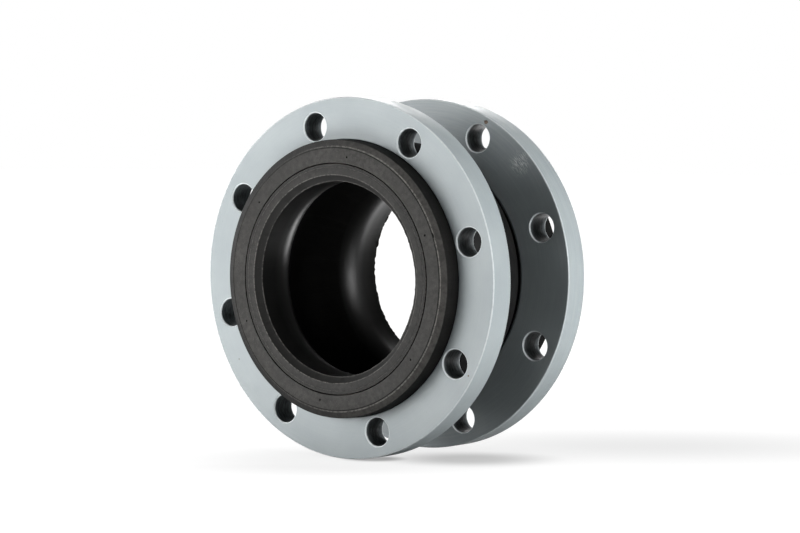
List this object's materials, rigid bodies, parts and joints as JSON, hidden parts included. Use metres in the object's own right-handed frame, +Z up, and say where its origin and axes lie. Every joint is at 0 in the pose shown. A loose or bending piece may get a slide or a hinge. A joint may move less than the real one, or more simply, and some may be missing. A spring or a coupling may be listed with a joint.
{
  "type": "rubber expansion joint",
  "caption": "Single-arch moulded rubber expansion joint for 150 mm pipe, with two loose swivelling steel flanges.",
  "frame": {"origin": "on the pipe axis, midway between the two sealing faces (centre of the bounding box)", "axes": "+Y along the pipe axis from the front end to the rear end, +Z up as the joint stands on its flange rims, +X to the right seen from the front"},
  "size_m": [0.2794, 0.1524, 0.2794],
  "materials": {
    "flange_paint": "satin pale blue-grey paint on steel",
    "collar_rubber": "moulded, brownish dark grey, dusty satin",
    "tube_rubber": "moulded, dark grey, soft sheen",
    "cover_rubber": "moulded, near black, satin",
    "hard_rubber": "plain black",
    "insulation_gum": "plain brown gum",
    "nylon_cord": "rubberised bias cord",
    "woven_fabric": "rubberised square weave",
    "bead_wire": "bronze-coated bundled wire"
  },
  "bodies": {
    "front_flange": {"front_flange": "flange_paint"},
    "front_collar": {"front_collar": "collar_rubber", "front_bead_wire": "bead_wire", "front_bead_wrap": "woven_fabric", "front_bead_filler": "hard_rubber", "front_chafer": "woven_fabric"},
    "arch_front": {"inner_tube": "tube_rubber", "cord_ply_1": "nylon_cord"},
    "arch_middle": {"cord_ply_2": "nylon_cord", "insulation_gum": "insulation_gum"},
    "arch_rear": {"cord_ply_3": "nylon_cord", "cord_ply_4": "nylon_cord", "outer_cover": "cover_rubber"},
    "rear_collar": {"rear_collar": "collar_rubber", "rear_bead_wire": "bead_wire", "rear_bead_wrap": "woven_fabric", "rear_bead_filler": "hard_rubber", "rear_chafer": "woven_fabric"},
    "rear_flange": {"rear_flange": "flange_paint"}
  },
  "joints": [
    {"name": "front_flange_swivel", "type": "hinge", "parent": "front_flange", "child": "front_collar", "pos_m": [0, -0.0499, 0], "axis": [0, 1, 0], "continuous": true},
    {"name": "lateral_offset", "type": "slide", "parent": "front_collar", "child": "arch_front", "axis": [1, 0, 0], "range_m": [-0.0125, 0.0125], "stiffness_N_per_m": 110000, "deforming": ["inner_tube", "cord_ply_1", "cord_ply_2", "insulation_gum", "cord_ply_3", "cord_ply_4", "outer_cover"]},
    {"name": "front_half_travel", "type": "slide", "parent": "arch_front", "child": "arch_middle", "axis": [0, 1, 0], "range_m": [-0.0095, 0.00625], "stiffness_N_per_m": 180000, "deforming": ["inner_tube", "cord_ply_1", "cord_ply_2", "insulation_gum", "cord_ply_3", "cord_ply_4", "outer_cover"]},
    {"name": "rear_half_travel", "type": "slide", "parent": "arch_middle", "child": "arch_rear", "axis": [0, 1, 0], "range_m": [-0.0095, 0.00625], "stiffness_N_per_m": 180000, "deforming": ["inner_tube", "cord_ply_1", "cord_ply_2", "insulation_gum", "cord_ply_3", "cord_ply_4", "outer_cover"]},
    {"name": "angular_deflection", "type": "hinge", "parent": "arch_rear", "child": "rear_collar", "pos_m": [0, 0, 0], "axis": [0, 0, 1], "range_deg": [-9, 9], "stiffness_Nm_per_rad": 290, "deforming": ["inner_tube", "cord_ply_1", "cord_ply_2", "insulation_gum", "cord_ply_3", "cord_ply_4", "outer_cover"]},
    {"name": "rear_flange_swivel", "type": "hinge", "parent": "rear_collar", "child": "rear_flange", "pos_m": [0, 0.0499, 0], "axis": [0, 1, 0], "continuous": true}
  ],
  "couplings": [
    {"joint": "rear_half_travel", "follows": "front_half_travel", "ratio": 1}
  ]
}
